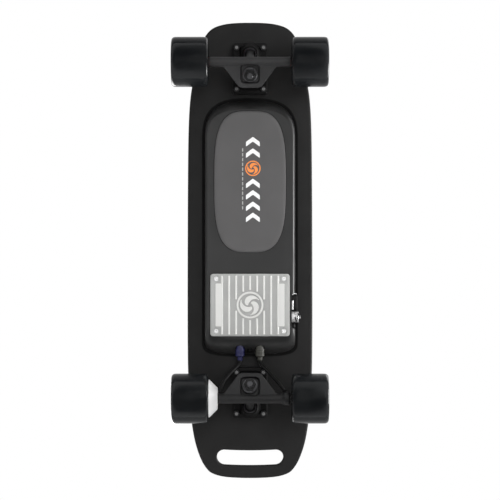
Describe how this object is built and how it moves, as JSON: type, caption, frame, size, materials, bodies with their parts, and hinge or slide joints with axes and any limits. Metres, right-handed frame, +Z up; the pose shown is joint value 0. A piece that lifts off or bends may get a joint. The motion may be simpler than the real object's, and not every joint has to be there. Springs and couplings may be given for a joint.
{
  "type": "electric skateboard",
  "caption": "Electric skateboard with a concave deck, rear handle slot, slim battery casing, sprung trucks, hub-motor rear wheels and spoked front wheels.",
  "frame": {"origin": "on the ground, under the middle of the deck's length and width", "axes": "+Z up, +Y towards the nose, +X to the rider's right across the deck"},
  "size_m": [0.236, 0.709, 0.1424],
  "materials": {
    "deck": "black satin lacquer over plywood",
    "grip": "matte ribbed rubber with grey pattern",
    "display": "clear glossy window",
    "casing": "satin moulded",
    "label": "satin grey",
    "heatsink": "satin blasted",
    "black_metal": "black powder coat",
    "motor_cover": "black anodised",
    "motor_flange": "polished",
    "steel": "bright",
    "urethane": "glossy black urethane",
    "core": "orange-red translucent",
    "bushing": "satin urethane",
    "rubber": "matte",
    "cable": "satin",
    "cells": "shrink wrap",
    "circuit_board": "potted board",
    "stator": "laminations with copper windings"
  },
  "bodies": {
    "board": {"deck": "deck", "grip_mat": "grip", "display_lens": "display", "battery_casing": "casing", "casing_gasket": "rubber", "label_plate": "label", "heatsink": "heatsink", "battery_pack": "cells", "motor_controller": "circuit_board", "charge_port": "steel", "charge_tether": "cable", "motor_plug_left": "rubber", "motor_lead_left": "cable", "motor_plug_right": "rubber", "motor_lead_right": "cable", "riser_pad_front": "rubber", "baseplate_front": "black_metal", "pivot_cup_front": "bushing", "kingpin_front": "steel", "kingpin_nut_front": "black_metal", "bushing_upper_front": "bushing", "bushing_lower_front": "bushing", "truck_bolt_front_1": "steel", "truck_bolt_front_2": "steel", "truck_bolt_front_3": "steel", "truck_bolt_front_4": "steel", "riser_pad_rear": "rubber", "baseplate_rear": "black_metal", "pivot_cup_rear": "bushing", "kingpin_rear": "steel", "kingpin_nut_rear": "black_metal", "bushing_upper_rear": "bushing", "bushing_lower_rear": "bushing", "truck_bolt_rear_1": "steel", "truck_bolt_rear_2": "steel", "truck_bolt_rear_3": "steel", "truck_bolt_rear_4": "steel"},
    "front_hanger": {"hanger_front": "black_metal", "axle_front": "steel", "axle_nut_front_left": "steel", "axle_nut_front_right": "steel"},
    "rear_hanger": {"hanger_rear": "black_metal", "axle_rear": "steel", "motor_flange_rear_right": "motor_flange", "motor_stator_rear_left": "stator", "motor_stator_rear_right": "stator"},
    "power_button": {"power_button": "rubber"},
    "charge_cap": {"charge_cap": "steel"},
    "wheel_front_left": {"tyre_front_left": "urethane", "core_front_left": "core", "bearings_front_left": "steel"},
    "wheel_rear_left": {"tyre_rear_left": "urethane", "motor_can_rear_left": "black_metal", "motor_cover_rear_left": "motor_cover"},
    "wheel_front_right": {"tyre_front_right": "urethane", "core_front_right": "core", "bearings_front_right": "steel"},
    "wheel_rear_right": {"tyre_rear_right": "urethane", "motor_can_rear_right": "black_metal", "motor_cover_rear_right": "motor_cover"}
  },
  "joints": [
    {"name": "front_steer", "type": "hinge", "parent": "board", "child": "front_hanger", "pos_m": [0, 0.268, 0.0475], "axis": [0, 0.774, 0.6332], "range_deg": [-12, 12], "stiffness_Nm_per_rad": 70, "deforming": ["bushing_upper_front", "bushing_lower_front"]},
    {"name": "rear_steer", "type": "hinge", "parent": "board", "child": "rear_hanger", "pos_m": [0, -0.2085, 0.0475], "axis": [0, -0.774, 0.6332], "range_deg": [-12, 12], "stiffness_Nm_per_rad": 70, "deforming": ["bushing_upper_rear", "bushing_lower_rear", "motor_lead_left", "motor_lead_right"]},
    {"name": "front_left_wheel_spin", "type": "hinge", "parent": "front_hanger", "child": "wheel_front_left", "pos_m": [-0.0905, 0.283, 0.0375], "axis": [1, 0, 0], "continuous": true},
    {"name": "front_right_wheel_spin", "type": "hinge", "parent": "front_hanger", "child": "wheel_front_right", "pos_m": [0.0905, 0.283, 0.0375], "axis": [1, 0, 0], "continuous": true},
    {"name": "rear_left_wheel_spin", "type": "hinge", "parent": "rear_hanger", "child": "wheel_rear_left", "pos_m": [-0.0905, -0.2235, 0.0375], "axis": [1, 0, 0], "continuous": true},
    {"name": "rear_right_wheel_spin", "type": "hinge", "parent": "rear_hanger", "child": "wheel_rear_right", "pos_m": [0.0905, -0.2235, 0.0375], "axis": [1, 0, 0], "continuous": true},
    {"name": "power_press", "type": "slide", "parent": "board", "child": "power_button", "axis": [1, 0, 0], "range_m": [0, 0.0015], "stiffness_N_per_m": 400},
    {"name": "charge_cap_pull", "type": "slide", "parent": "board", "child": "charge_cap", "axis": [-1, 0, 0], "range_m": [0, 0.012], "deforming": ["charge_tether"]}
  ]
}
